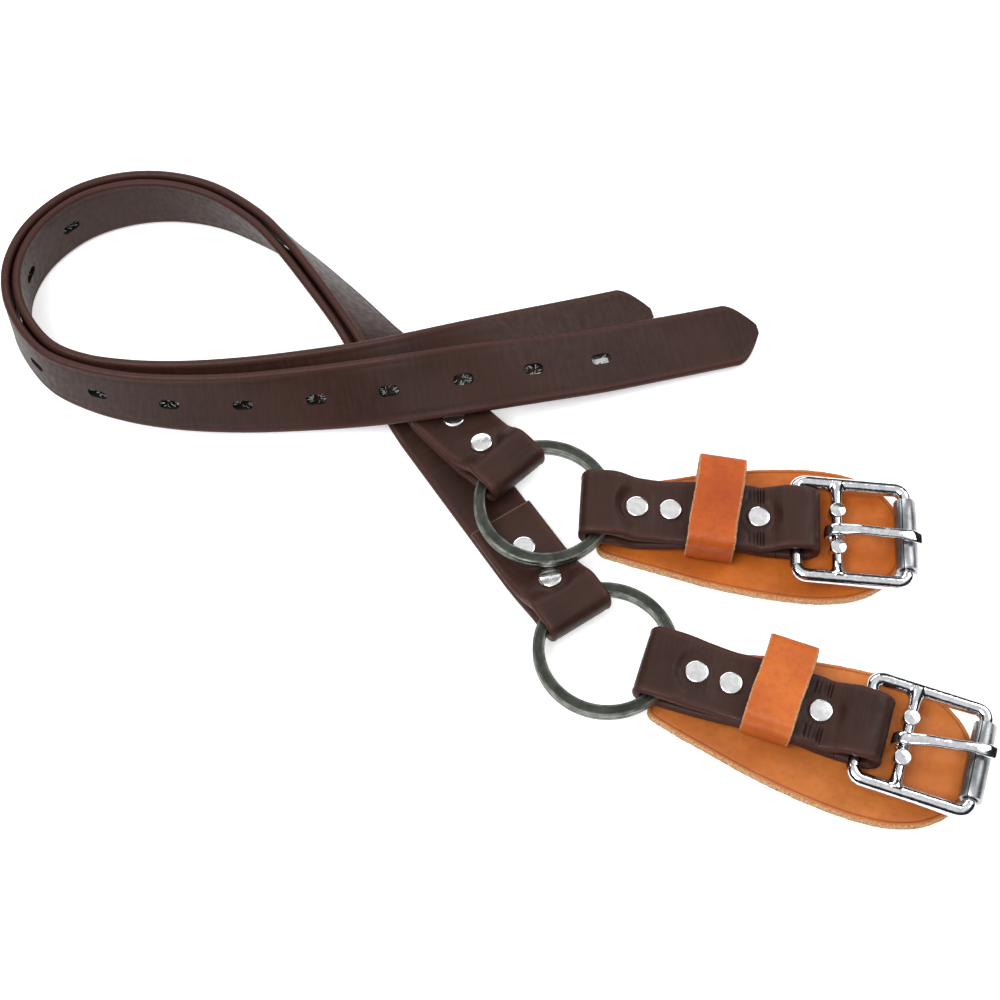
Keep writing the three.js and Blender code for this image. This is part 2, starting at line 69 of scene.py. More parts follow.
# ---- driving dimensions: the CAD model's, with small shifts of keepers, buckle frames and some heights ----
GAP = 0.3  # clearance round a bar and at the seam
STRAP_WIDTH = 25.4
STRAP_THICK = 3.2
HALF = STRAP_WIDTH / 2
RIM = 2.7  # width of the smooth rim along each edge of a strap
RING_OUTER = 50.0
RING_BAR = 4.1
RING_THICK = 4.0
PAD_THICK = 3.6
SLOT_LENGTH = 7.5
SLOT_WIDTH = 4.0
SLOT_PITCH = 27.0
SLOT_COUNT = 10
FIRST_SLOT = 64.0  # from the tip
PRISM_SIDES = 28
SLOT_THREADS = 20  # in each slot
THREAD_RADIUS = 0.11
TIP_TAPER = 10.7
TIP_NARROWS = 0.85  # how much of its width a tip loses
TIP_CURVE = 1.7
FOLD_REACH = 12.6  # outer face of a fold, from the ring's centre
FOLD_START = 17.5  # where a fold's layers run straight, from the ring's centre
FOLD_CORNER = 2.9
FOLD_GAP = 7.8  # between the middle surfaces of a fold's two layers
FOLD_U = 92.6  # middle of the buckle strap's turn round the heel bar, from the ring's centre
CAP_RADIUS = 4.1
CAP_HEIGHT = 1.25
CAP_DEPTH = 0.15  # how far a rivet is let into the strap's face
SEAT_REACH = 8.6  # from a rivet's middle to where its level seat has died away
SEAT_FADE = 3.8
RIVET_FOOT = 0.3  # underside of a buckle strap's rivets, above the floor
STUD_OFFSET = 7.4  # from the middle of a buckle's centre bar
WIRE = 4.6
BAR_SIDES = 20
FRAME_WIDTH = 37.4
FRONT_BAR = 3.8
VOXEL = 0.27  # grain of the casting's fused mesh
FRAME_DROOP = math.radians(2.8)
KEEPER = {"width": 17.0, "thick": 2.0}
TONGUE = {"thick": 2.2, "offset": -1.2, "tip": 29.3}
RING_END_STEP = 0.7  # between the rows of a strap's mesh
LOOP_STEP = 1.8
BUCKLE_STRAP_STEP = 0.45
LOOP_LINE_STEP = 0.8  # along a keeper and a buckle frame
SEAM = 83.0  # where the buckle strap's two ends meet in its lower layer
NESTING = STRAP_THICK + 1.1  # between the two long straps' middle surfaces

# ring is the split ring's centre, and the strap distances count from it. heading to end belong to the long
# strap, the rest to the buckle strap: askew is its keeper's turn in degrees, lean its tongue tip's shift.
SIDES = {
    "upper": {
        "ring": (15.6, -7.8, 12.0), "heading": 132.5, "offset": -0.6, "rivets": [33.0, 49.0],
        "heights": [(15, 8.1), (25.5, 8.1), (32.5, 5.5), (42, 5.1), (62, 5.1)],
        "tail_end": 58.0, "straight_end": 56.0, "rising": [], "inner": False, "skipped": 0, "end": 10.7,
        "buckle_rivets": [33.0, 45.0, 76.3], "keeper": (61.0, 2.6), "keeper_outer": 37.4,
        "pad": (2.0, -1.2), "frame_offset": -2.3, "askew": -5.8, "lean": -1.4, "seed": 3,
    },
    "lower": {
        "ring": (36.1, -63.8, 9.4), "heading": 123.5, "offset": 0.5, "rivets": [31.4, 49.3],
        "heights": [(15, 5.5), (24.5, 5.5), (31, 3.9), (36, 2.6), (42, 1.8), (50, 1.7), (130, 1.7)],
        "tail_end": 64.3, "straight_end": 112.0, "rising": [(126, 1.9, 84)], "inner": True, "skipped": 2,
        "end": -26.0,
        "buckle_rivets": [31.8, 43.8, 74.8], "keeper": (59.9, 3.3), "keeper_outer": 34.4,
        "pad": (1.5, -3.2), "frame_offset": 0.2, "askew": -2.0, "lean": 4.5, "seed": 8,
    },
}

# Lower edge of the outer strap round the loop: x, y, z, lean of its width from upright in degrees,
# and how far the inner strap stands above it along the width.
LOOP_ROUTE = [
    (-22, 53.5, 5.0, 76, 0), (-31.5, 63.5, 4.7, 61, 0.6), (-40.7, 72.9, 4.3, 49, 1),
    (-59.1, 92.6, 3.0, 35, 1), (-78.9, 111.1, 2.0, 22, 1), (-91.2, 119.1, 1.5, 15, 0.8),
    (-109.5, 127.8, 1.0, 8, 0.5), (-129, 131.2, 0.6, 2.5, 0.2), (-148.2, 128.9, 0.5, -1, 0),
    (-165.7, 120.8, 0.5, -2, 0), (-179.8, 105.4, 0.5, -1, 0), (-186, 88, 0.5, 2, 0),
    (-184.3, 72, 0.5, 3, 0), (-177, 58, 0.6, 2.5, 0), (-167, 46.5, 0.7, 3.5, 0.2),
    (-153.5, 38.6, 0.9, 7.5, 0.6), (-137.3, 33, 1.2, 12, 2), (-118.4, 29.3, 1.5, 18.5, 3),
    (-95.9, 27.4, 2.4, 25, 4), (-73.5, 26.7, 4.6, 32, 4.7), (-51, 26, 8.4, 41, 5.6),
    (-28.9, 26.1, 12.6, 50, 7), (-7.6, 29, 13.7, 61, 9), (16.2, 35.1, 10.9, 70, 12),
    (39, 41.6, 7.4, 75, 14.5), (67.2, 49.9, 4.8, 80, 16.5), (90.5, 56, 4, 82, 17),
]
# Heights against the distance from the ring's centre: a tail's middle above its long strap's, and the
# buckle strap's two layers beyond the ring.
TAIL_GAP = [(15, FOLD_GAP), (25, FOLD_GAP), (33, 4.2), (37, 3.7), (42, 3.6), (80, 3.6)]
UNDER_LAYER = [(33, 5.8), (43, 6.7), (48.5, 7.8), (71.5, 7.8), (77, 6.1), (83, 5.5), (95, 5.5)]
OVER_LAYER = [(33, 11.9), (43, 11.0), (48.5, 11.4), (71.5, 11.4), (77, 9.8), (81, 11.3), (86, 13.9),
              (95, 13.9)]
# Half of the pad's outline, from the ring end.
PAD_HALF = [(17.3, 9), (18.6, 12.4), (27, 15.4), (40, 18.6), (58, 22.8), (78, 25.8), (96, 26.6), (108, 24.8),
            (117, 20.6), (123.6, 13.8), (127, 6), (127.6, 0)]

upper_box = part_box("upper_split_ring")
ring_middle = np.array((upper_box[0] + upper_box[1]) / 2) / MM
ORIGIN = ring_middle - np.array(SIDES["upper"]["ring"])  # the layout's own origin, in the frame


def new_object(name, data):
    thing = bpy.data.objects.new(name, data)
    bpy.context.scene.collection.objects.link(thing)
    return thing


def moved(x, y, z):
    """Matrix of a move in millimetres."""
    return Matrix.Translation(Vector((x, y, z)) * MM)


# ---- camera and stage ----

def add_camera():
    elevation, distance, field = math.radians(61), 650.0, 31.255
    camera = new_object("camera", bpy.data.cameras.new("camera"))
    camera.data.angle = math.radians(field)
    target = Vector(ORIGIN * MM)
    back = Vector((0, -math.cos(elevation), math.sin(elevation)))
    camera.location = target + back * distance * MM
    camera.rotation_euler = (-back).to_track_quat("-Z", "Y").to_euler()
    camera.data.clip_start = 0.01
    camera.data.clip_end = 50
    bpy.context.scene.camera = camera


def add_area_light(name, place, size, watts):
    light = new_object(name, bpy.data.lights.new(name, "AREA"))
    light.data.shape = "RECTANGLE"
    light.data.size, light.data.size_y = size
    light.data.energy = watts
    light.location = place
    light.rotation_euler = Vector(place).to_track_quat("Z", "Y").to_euler()


def add_world():
    # White overhead and darker towards the horizon, so that bright metal has something to show.
    world = bpy.data.worlds.new("studio")
    bpy.context.scene.world = world
    world.use_nodes = True
    tree = world.node_tree
    background = tree.nodes["Background"]
    direction = tree.nodes.new("ShaderNodeTexCoord")
    split = tree.nodes.new("ShaderNodeSeparateXYZ")
    ramp = tree.nodes.new("ShaderNodeValToRGB")
    tree.links.new(direction.outputs["Generated"], split.inputs[0])
    tree.links.new(split.outputs["Z"], ramp.inputs[0])
    stops = [(0.0, 0.3), (0.1, 0.05), (0.5, 0.04), (0.68, 0.25), (0.8, 1.7), (1.0, 1.45)]
    elements = ramp.color_ramp.elements
    elements[0].position, elements[1].position = stops[0][0], stops[-1][0]
    elements[0].color = (stops[0][1],) * 3 + (1,)
    elements[1].color = (stops[-1][1],) * 3 + (1,)
    for position, level in stops[1:-1]:
        elements.new(position).color = (level,) * 3 + (1,)
    tree.links.new(ramp.outputs["Color"], background.inputs["Color"])
    background.inputs["Strength"].default_value = 0.55


# ---- node materials ----

def rgb(red, green, blue):
    """A display colour, 0 to 255, as linear values."""
    levels = [c / 255 for c in (red, green, blue)]
    return tuple(c / 12.92 if c <= 0.04045 else ((c + 0.055) / 1.055) ** 2.4 for c in levels) + (1,)


class Shader:
    """A node material being built. Each method adds a node and returns its output."""

    def __init__(self, name, **constants):
        self.material = bpy.data.materials.new(name)
        self.material.use_nodes = True
        self.tree = self.material.node_tree
        self.surface = self.tree.nodes["Principled BSDF"]
        for key, value in constants.items():
            self.surface.inputs[key.replace("_", " ").title().replace("Ior", "IOR")].default_value = value

    def add(self, kind, inputs=(), **settings):
        node = self.tree.nodes.new(kind)
        for key, value in settings.items():
            setattr(node, key, value)
        for key, value in dict(inputs).items():
            self.feed(node.inputs[key], value)
        return node

    def feed(self, socket, value):
        if isinstance(value, bpy.types.NodeSocket):
            self.tree.links.new(value, socket)
        else:
            socket.default_value = value

    def place(self):
        return self.add("ShaderNodeTexCoord").outputs["Object"]

    def run(self, along, across):
        """Coordinates along and across a strip, scaled."""
        uv = self.add("ShaderNodeUVMap", uv_map="run").outputs["UV"]
        return self.add("ShaderNodeMapping", {"Vector": uv, "Scale": (along, across, 1)}).outputs["Vector"]

    def mark(self, name, share=None):
        value = self.add("ShaderNodeAttribute", attribute_name=name).outputs["Fac"]
        return value if share is None else self.sums("MULTIPLY", value, share)

    def noise(self, scale, detail=3.0, roughness=0.55, where=None):
        where = self.place() if where is None else where
        return self.add("ShaderNodeTexNoise", {
            "Vector": where, "Scale": scale, "Detail": detail, "Roughness": roughness}).outputs["Fac"]

    def cells(self, where, scale):
        return self.add("ShaderNodeTexVoronoi", {"Vector": where, "Scale": scale}).outputs["Distance"]

    def spread(self, value, low=0.35, high=0.65, to_low=0.0, to_high=1.0):
        return self.add("ShaderNodeMapRange", {
            "Value": value, "From Min": low, "From Max": high, "To Min": to_low, "To Max": to_high,
        }, interpolation_type="SMOOTHSTEP").outputs["Result"]

    def sums(self, operation, first, second):
        node = self.add("ShaderNodeMath", operation=operation)
        self.feed(node.inputs[0], first)
        self.feed(node.inputs[1], second)
        return node.outputs[0]

    def mix(self, factor, first, second):
        node = self.add("ShaderNodeMix", data_type="RGBA")
        for i, value in ((0, factor), (6, first), (7, second)):
            self.feed(node.inputs[i], value)
        return node.outputs[2]

    def bump(self, height, depth, below=None):
        """depth is the height of the bumps in millimetres; below is a bump to lie on."""
        inputs = {"Height": height, "Distance": depth * MM, "Strength": 1.0}
        if below is not None:
            inputs["Normal"] = below
        return self.add("ShaderNodeBump", inputs).outputs["Normal"]

    def done(self, colour, roughness, normal):
        for key, value in (("Base Color", colour), ("Roughness", roughness), ("Normal", normal)):
            self.feed(self.surface.inputs[key], value)
        return self.material


def strap_material():
    """Dark brown coated webbing: satin, lighter and redder at the rims as a painted highlight, with fine
    ripples across.
    """
    s = Shader("strap_coating", specular_ior_level=0.2)
    patches = s.noise(26, 4)
    streaks = s.noise(1.0, 3, where=s.run(900, 60))
    colour = s.mix(s.spread(patches), rgb(41, 22, 17), rgb(50, 29, 23))
    colour = s.mix(s.spread(streaks, 0.35, 0.75, 0, 0.4), colour, rgb(60, 37, 30))
    # painted highlight: the rounded rims lighter and redder, as where they catch the light
    colour = s.mix(s.mark("rim", 0.55), colour, rgb(70, 41, 36))
    # painted shade: darker in the creases beside the buckle strap's last rivet
    colour = s.mix(s.mark("crease", 0.8), colour, rgb(22, 15, 13))
    fuzz = s.noise(2600, 2)
    cut = s.sums("MULTIPLY", s.mark("raw"), s.spread(fuzz, 0.3, 0.7, 0.4, 0.9))
    colour = s.mix(cut, colour, rgb(118, 94, 74))
    roughness = s.spread(s.noise(1.0, 4, where=s.run(420, 260)), 0.3, 0.7, 0.4, 0.56)
    ripples = s.bump(streaks, 0.09)
    grain = s.bump(s.noise(3400, 3), 0.02, ripples)
    return s.done(colour, roughness, grain)


def slot_material():
    """Inside a slot: walls painted nearly black as shade, with a few lighter threads."""
    s = Shader("slot_shade_and_threads", specular_ior_level=0.2)
    threads = s.noise(2200, 4, 0.8)
    # painted shade: the slot walls nearly black, with lighter threads of the core
    colour = s.mix(s.spread(threads, 0.55, 0.75), rgb(16, 15, 14), rgb(86, 92, 84))
    return s.done(colour, 0.85, s.bump(threads, 0.3))


def thread_material():
    s = Shader("core_threads", specular_ior_level=0.3)
    tone = s.noise(900, 2)
    colour = s.mix(s.spread(tone), rgb(70, 84, 80), rgb(186, 196, 190))
    return s.done(colour, 0.6, s.bump(tone, 0.05))


def leather_material(name, light, dark, deep):
    """Vegetable-tanned leather: waxed face, pores, soft blotches, pale raw edges and a pressed line."""
    s = Shader(name, specular_ior_level=0.28)
    blotches = s.noise(42, 5, 0.6)
    fine = s.noise(420, 4, 0.6)
    colour = s.mix(s.spread(blotches, 0.3, 0.7), dark, light)
    colour = s.mix(s.spread(fine, 0.4, 0.75, 0, 0.35), colour, deep)
    colour = s.mix(s.mark("crease", 0.8), colour, rgb(116, 58, 24))
    fuzz = s.noise(1500, 4, 0.7)
    edge = s.mix(s.spread(fuzz), rgb(152, 98, 56), rgb(208, 172, 132))
    colour = s.mix(s.mark("raw"), colour, edge)
    pores = s.sums("MULTIPLY", s.spread(s.cells(s.place(), 1300), 0.0, 0.5), 0.6)
    creasing = s.bump(s.noise(190, 5, 0.65), 0.16)
    roughness = s.spread(s.sums("ADD", fine, s.mark("raw")), 0.3, 1.2, 0.42, 0.85)
    grain = s.bump(s.sums("ADD", pores, fuzz), 0.035, creasing)
    return s.done(colour, roughness, grain)


def ring_material():
    """Oxidised steel wire, with painted highlights along its corners."""
    s = Shader("oxidised_steel", metallic=0.9)
    tone = s.noise(130, 5, 0.65)
    lines = s.noise(1.0, 3, where=s.run(70, 4200))
    colour = s.mix(s.spread(tone, 0.3, 0.7), rgb(50, 53, 48), rgb(76, 79, 72))
    colour = s.mix(s.spread(lines, 0.55, 0.8, 0, 0.5), colour, rgb(104, 107, 99))
    # painted highlight: the corners lighter, broken up by noise
    corner_highlight = s.sums("MULTIPLY", s.mark("rim"), s.spread(s.noise(300, 4), 0.35, 0.7, 0.2, 0.9))
    colour = s.mix(corner_highlight, colour, rgb(150, 153, 145))
    roughness = s.spread(lines, 0.3, 0.7, 0.3, 0.5)
    return s.done(colour, roughness, s.bump(lines, 0.03, s.bump(tone, 0.06)))


def nickel_material():
    s = Shader("nickel_plate", metallic=1.0)
    marks = s.noise(500, 3)
    colour = s.mix(s.spread(marks), rgb(226, 225, 226), rgb(238, 238, 238))
    roughness = s.spread(marks, 0.3, 0.7, 0.14, 0.22)
    return s.done(colour, roughness, s.bump(marks, 0.003))


def chrome_material():
    """Bright plate over a casting with a softly uneven skin."""
    s = Shader("chrome_plate", metallic=1.0)
    haze = s.noise(500, 4, 0.6)
    colour = s.mix(s.spread(haze), rgb(206, 208, 212), rgb(226, 228, 232))
    roughness = s.spread(haze, 0.35, 0.7, 0.05, 0.14)
    skin = s.bump(s.noise(330, 2), 0.14)
    return s.done(colour, roughness, s.bump(haze, 0.008, skin))


def roller_material():
    """Rolled sheet steel with brushing round the tube."""
    s = Shader("rolled_steel", metallic=1.0)
    lines = s.noise(1.0, 3, where=s.run(60, 5200))
    cloud = s.noise(160, 4)
    colour = s.mix(s.spread(cloud, 0.3, 0.7), rgb(118, 120, 122), rgb(150, 152, 154))
    # painted highlight: lighter at the tube's end rims
    colour = s.mix(s.mark("rim", 0.6), colour, rgb(196, 198, 200))
    roughness = s.spread(lines, 0.3, 0.7, 0.26, 0.42)
    return s.done(colour, roughness, s.bump(lines, 0.02))


def floor_material():
    s = Shader("pale_floor", specular_ior_level=0.1)
    tone = s.noise(3, 2)
    colour = s.mix(s.spread(tone, 0.3, 0.7, 0, 0.2), (0.95, 0.95, 0.95, 1), (0.93, 0.93, 0.93, 1))
    s.surface.inputs["Emission Color"].default_value = (1, 1, 1, 1)
    s.surface.inputs["Emission Strength"].default_value = 0.42
    return s.done(colour, 0.9, s.bump(tone, 0.01))


# The light, dark and deep colours of each leather piece.
LEATHERS = {
    "upper_pad": (rgb(188, 100, 28), rgb(165, 82, 22), rgb(142, 66, 16)),
    "lower_pad": (rgb(193, 112, 48), rgb(172, 94, 37), rgb(150, 78, 28)),
    "upper_keeper": (rgb(182, 84, 24), rgb(158, 66, 18), rgb(134, 54, 14)),
    "lower_keeper": (rgb(195, 102, 38), rgb(172, 82, 28), rgb(146, 66, 22)),
}
MATERIALS = {
    "strap": strap_material(),
    "slot": slot_material(),
    "threads": thread_material(),
    "ring": ring_material(),
    "rivet_nickel": nickel_material(),
    "buckle_chrome": chrome_material(),
    "roller_steel": roller_material(),
    **{name: leather_material(f"{name}_leather", *colours) for name, colours in LEATHERS.items()},
}


# ---- curves and meshes ----

def spline(points, place):
    """Centripetal Catmull-Rom curve through points; place counts them from 0."""
    k = min(int(place), len(points) - 2)
    before = points[k - 1] if k > 0 else 2 * points[0] - points[1]
    after = points[k + 2] if k + 2 < len(points) else 2 * points[-1] - points[-2]
    start, stop = points[k], points[k + 1]
    pairs = ((before, start), (start, stop), (stop, after))
    spans = [max(np.linalg.norm(b - a), 1e-6) ** 0.5 for a, b in pairs]
    lead = (start - before) / spans[0] - (stop - before) / (spans[0] + spans[1]) + (stop - start) / spans[1]
    tail = (stop - start) / spans[1] - (after - start) / (spans[1] + spans[2]) + (after - stop) / spans[2]
    lead, tail = lead * spans[1], tail * spans[1]
    t = place - k
    cubic = 2 * start - 2 * stop + lead + tail
    square = -3 * start + 3 * stop - 2 * lead - tail
    return ((cubic * t + square) * t + lead) * t + start


def smooth_line(points, fine):
    """Many points along the curve through a few."""
    points = [np.array(p, float) for p in points]
    return np.array([spline(points, i / fine) for i in range((len(points) - 1) * fine + 1)])


def distances(points):
    """Running length at each point of a line."""
    return np.concatenate([[0], np.cumsum(np.linalg.norm(np.diff(points, axis=0), axis=1))])


def units(rows):
    """Each row at length 1."""
    return rows / np.linalg.norm(rows, axis=1)[:, None]


def resampled(points, step):
    """The same line with even steps."""
    points = np.asarray(points, float)
    run = distances(points)
    places = np.linspace(0, run[-1], max(int(round(run[-1] / step)), 2) + 1)
    return np.stack([np.interp(places, run, column) for column in points.T], axis=1)


def closed_tangents(points):
    """Directions along a line that closes on itself."""
    return units(np.roll(points, -1, 0) - np.roll(points, 1, 0))


def rounded_loop(corners, radius, turn_step):
    """A closed line round corners, given as a centre and the angle where its bend begins."""
    line = []
    for x, y, start in corners:
        turns = [math.radians(start + t) for t in range(0, 91, turn_step)]
        line += [(x + radius * math.cos(a), y + radius * math.sin(a)) for a in turns]
    return resampled(line + line[:1], LOOP_LINE_STEP)[:-1]


def mirrored(half):
    """A section from its half."""
    return np.array([*half, *[(-x, -y, mark) for x, y, mark in half]])


def relaxed(values, passes):
    """A line with its kinks smoothed out; its ends stay."""
    values = np.array(values, float)
    for _ in range(passes):
        values[1:-1] = 0.25 * values[:-2] + 0.5 * values[1:-1] + 0.25 * values[2:]
    return values


def height_at(table, at):
    """Height from a table of steps, level at the ends of each step."""
    if at <= table[0][0]:
        return table[0][1]
    for (start, low), (stop, high) in zip(table, table[1:]):
        if at <= stop:
            part = (at - start) / (stop - start)
            ease = part * part * (3 - 2 * part)
            return low + (high - low) * (part + ease) / 2
    return table[-1][1]


def grid_mesh(name, rows, along, across, closed=False, marks=None):
    """A closed mesh through rows of points. Each row is an outline; along gives each row's distance (one
    more than the rows if they close on themselves), across the outline's second coordinate."""
    rows = np.asarray(rows, float)
    n, m = rows.shape[:2]
    spans = n if closed else n - 1
    quads = [(i * m + j, i * m + (j + 1) % m, (i + 1) % n * m + (j + 1) % m, (i + 1) % n * m + j)
             for i in range(spans) for j in range(m)]
    caps = [] if closed else [tuple(range(m))[::-1], tuple((n - 1) * m + j for j in range(m))]
    mesh = bpy.data.meshes.new(name)
    mesh.from_pydata((rows.reshape(-1, 3) * MM).tolist(), [], quads + caps)
    layer = mesh.uv_layers.new(name="run")
    corners = np.array([((along[i], across[j]), (along[i], across[(j + 1) % m]),
                         (along[i + 1], across[(j + 1) % m]), (along[i + 1], across[j]))
                        for i in range(spans) for j in range(m)]).reshape(-1, 2)
    flat = np.zeros((len(mesh.loops), 2))
    flat[:len(corners)] = corners
    layer.data.foreach_set("uv", (flat * MM).ravel())
    for key, values in (marks or {}).items():
        shade = mesh.attributes.new(key, "FLOAT", "POINT")
        shade.data.foreach_set("value", np.broadcast_to(values, (n, m)).astype(np.float32).ravel())
    return mesh


def shaded(mesh, angle=40):
    """Faces turned outwards and shaded smooth, with creases kept."""
    work = bmesh.new()
    work.from_mesh(mesh)
    bmesh.ops.recalc_face_normals(work, faces=work.faces)
    work.to_mesh(mesh)
    work.free()
    mesh.polygons.foreach_set("use_smooth", [True] * len(mesh.polygons))
    mesh.set_sharp_from_angle(angle=math.radians(angle))
    mesh.update()


def add_piece(name, mesh, body, slot, nodes=(), angle=40):
    """One visible piece on its body, standing for its CAD nodes."""
    shaded(mesh, angle)
    piece = new_object(name, mesh)
    if not mesh.materials:
        mesh.materials.append(MATERIALS[slot])
    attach(piece, body)
    if nodes:
        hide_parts(*nodes)


def applied(mesh, build):
    """The mesh after the modifiers that build adds to an object made of it."""
    work = new_object("work", mesh)
    build(work)
    bpy.context.view_layer.update()
    result = bpy.data.meshes.new_from_object(work.evaluated_get(bpy.context.evaluated_depsgraph_get()))
    bpy.data.objects.remove(work)
    return result


def joined(meshes, name):
    work = bmesh.new()
    for mesh in meshes:
        work.from_mesh(mesh)
    mesh = bpy.data.meshes.new(name)
    work.to_mesh(mesh)
    work.free()
    return mesh


def assembly(side):
    """Matrix from a ring and buckle assembly's own axes to the frame, and the distances of its bars."""
    centre = Vector(JOINTS[f"{side}_ring_spin"]["pos_m"])
    centre.z = 0
    along = Vector(JOINTS[f"{side}_keeper_slide"]["axis"])
    across = Vector((0, 0, 1)).cross(along)
    place = Matrix((along, across, (0, 0, 1))).transposed().to_4x4()
    place.translation = centre
    bars = {}
    for bar, joint in (("heel", "frame_tilt"), ("centre", "tongue_tilt"), ("front", "roller_spin")):
        point = Vector(JOINTS[f"{side}_{joint}"]["pos_m"])
        bars[bar] = ((point - centre).dot(along) / MM, point.z / MM)
    return place, bars


# ---- straps ----

def strap_section():
    """Outline of a strap across its width: round rims, a shallow line inside them, and a flat middle.
    Returns the points and how much each one belongs to the rim."""
    round_edge = STRAP_THICK / 2
    centre = HALF - round_edge
    inner = [(HALF - RIM, round_edge - 0.24, 0.2), (HALF - RIM - 0.8, round_edge - 0.1, 0)]
    inner += [(x, round_edge - 0.1 + 0.003 * (8.2 - x), 0) for x in (7.6, 6.2, 4.9, 3.7, 2.5, 1.2)]
    top = [*inner, (0, round_edge - 0.07, 0), *[(-x, y, rim) for x, y, rim in reversed(inner)]]
    edge = [(centre + round_edge * math.cos(a), round_edge * math.sin(a), 1)
            for a in np.linspace(-math.pi / 2, math.pi / 2, 9)]
    return mirrored([*edge, *top])


def swept(points, width_axis, section, scale=None):
    """Rows of a section carried along a line, with the normals that turn it."""
    tangent = units(np.gradient(points, axis=0))
    axis = units(width_axis - (width_axis * tangent).sum(1)[:, None] * tangent)
    normal = np.cross(tangent, axis)
    scale = np.ones(len(points)) if scale is None else scale
    x = section[None, :, 0, None] * scale[:, None, None]
    rows = points[:, None] + x * axis[:, None] + section[None, :, 1, None] * normal[:, None]
    return rows, tangent, axis, normal


def fold_turn(low, high, fine=15):
    """Side view of a squared fold, from its upper layer to its lower one."""
    end = FOLD_REACH + STRAP_THICK / 2
    path = []
    for z, first in ((high - FOLD_CORNER, 90), (low + FOLD_CORNER, 0)):
        turns = [math.radians(a) for a in range(first, first - 91, -fine)]
        path += [(end + FOLD_CORNER * (1 - math.cos(a)), z + FOLD_CORNER * math.sin(a)) for a in turns]
    return path


def strap_axes(spec):
    """Directions along and across a long strap's straight run, and the point below its ring's centre."""
    heading = math.radians(spec["heading"])
    along = np.array([math.cos(heading), math.sin(heading), 0])
    across = np.array([-along[1], along[0], 0])
    base = np.array([spec["ring"][0], spec["ring"][1], 0]) + across * spec["offset"]
    return along, across, base


def ring_end(spec):
    """Side view of a long strap's ring end: from the tail's cut edge round the ring to the loop."""
    heights = spec["heights"]
    low = heights[0][1]
    tail = np.arange(spec["tail_end"], FOLD_START, -1.0)
    path = [(a, height_at(heights, a) + height_at(TAIL_GAP, a)) for a in tail]
    path += fold_turn(low, low + FOLD_GAP)
    path += [(a, height_at(heights, a)) for a in np.arange(FOLD_START + 0.5, spec["straight_end"] - 3, 1.0)]
    return relaxed(path, 3)


def leaning(tangent, lean):
    """Direction of a strap's width that leans from upright towards the loop's inside."""
    inside = np.cross(UP, tangent)
    inside /= np.linalg.norm(inside)
    return UP * math.cos(math.radians(lean)) + inside * math.sin(math.radians(lean))


def loop_stations(spec):
    """Middle line and lean of a long strap round the loop."""
    edge = [np.array(station[:3], float) for station in LOOP_ROUTE]
    stations = []
    step = 1e-3
    for i, (_, _, _, lean, slip) in enumerate(LOOP_ROUTE):
        ahead = spline(edge, min(i + step, len(edge) - 1))
        back = spline(edge, max(i - step, 0))
        tangent = (ahead - back) / np.linalg.norm(ahead - back)
        width = leaning(tangent, lean)
        middle = edge[i] + width * (HALF + (slip if spec["inner"] else 0))
        if spec["inner"]:
            middle -= np.cross(tangent, width) * NESTING
        stations.append((middle, lean))
    stations = stations[spec["skipped"]:]
    if spec["end"] > 0:
        heading = stations[-1][0] - stations[-2][0]
        heading /= np.linalg.norm(heading)
        stations.append((stations[-1][0] + heading * spec["end"], stations[-1][1]))
    return stations


def long_strap_line(spec):
    """Points, width directions and width scale of a long strap from its cut end to its pointed tip."""
    along, across, base = strap_axes(spec)

    def at(a, z):
        return base + along * a + UP * z

    height = height_at(spec["heights"], spec["straight_end"])
    start = resampled([at(a, z) for a, z in ring_end(spec)], RING_END_STEP)
    lead = [(spec["straight_end"] - 3, 0, 90), (spec["straight_end"], 0, 90), *spec["rising"]]
    stations = [(at(a, height + rise), lean) for a, rise, lean in lead] + loop_stations(spec)
    middle = [p for p, _ in stations]
    places = np.linspace(0, len(middle) - 1, (len(middle) - 1) * 16 + 1)
    curve = smooth_line(middle, 16)
    leans = np.interp(places, range(len(middle)), [lean for _, lean in stations])
    run = distances(curve)
    length = run[-1] + min(spec["end"], 0) - TIP_TAPER
    steps = np.linspace(0, length, int(length / LOOP_STEP) + 1)
    points = np.stack([np.interp(steps, run, c) for c in curve.T], axis=1)
    leans = np.interp(steps, run, relaxed(leans, 60))
    tangents = units(np.gradient(points, axis=0))
    widths = np.array([leaning(t, lean) for t, lean in zip(tangents, leans)])
    taper = np.linspace(0, 1, 15)[1:]
    tip = points[-1] + tangents[-1] * TIP_TAPER * taper[:, None]
    scale = 1 - TIP_NARROWS * taper ** TIP_CURVE
    points = np.concatenate([start, points[1:], tip])
    flat = np.tile(across, (len(start), 1))
    widths = np.concatenate([flat, widths[1:], np.tile(widths[-1], (len(tip), 1))])
    scales = np.concatenate([np.ones(len(points) - len(tip)), scale])
    return points + ORIGIN, widths, scales


def slot_places(points, axis, tangent, normal):
    """Middle and axes of each slot, set out from the tip."""
    run = distances(points)
    places = []
    for k in range(SLOT_COUNT):
        i = int(np.searchsorted(run, run[-1] - FIRST_SLOT - k * SLOT_PITCH))
        places.append((points[i], tangent[i], axis[i], normal[i]))
    return places


def slot_cutters(places, draw):
    """Prisms with slightly ragged walls."""
    prisms = []
    straight = (SLOT_LENGTH - SLOT_WIDTH) / 2
    for centre, tangent, axis, normal in places:
        outline = []
        for k in range(PRISM_SIDES):
            angle = 2 * math.pi * k / PRISM_SIDES
            reach = 1 + draw.uniform(-0.05, 0.04)
            x = (math.copysign(straight, math.cos(angle)) + SLOT_WIDTH / 2 * math.cos(angle)) * reach
            outline.append(centre + tangent * x + axis * (SLOT_WIDTH / 2 * math.sin(angle) * reach))
        rows = [np.array(outline) + normal * depth for depth in (-4, -0.5, 0.5, 4)]
        prisms.append(grid_mesh("prism", rows, range(4), range(PRISM_SIDES)))
    mesh = joined(prisms, "cutters")
    shaded(mesh)
    mesh.materials.append(MATERIALS["slot"])
    return mesh


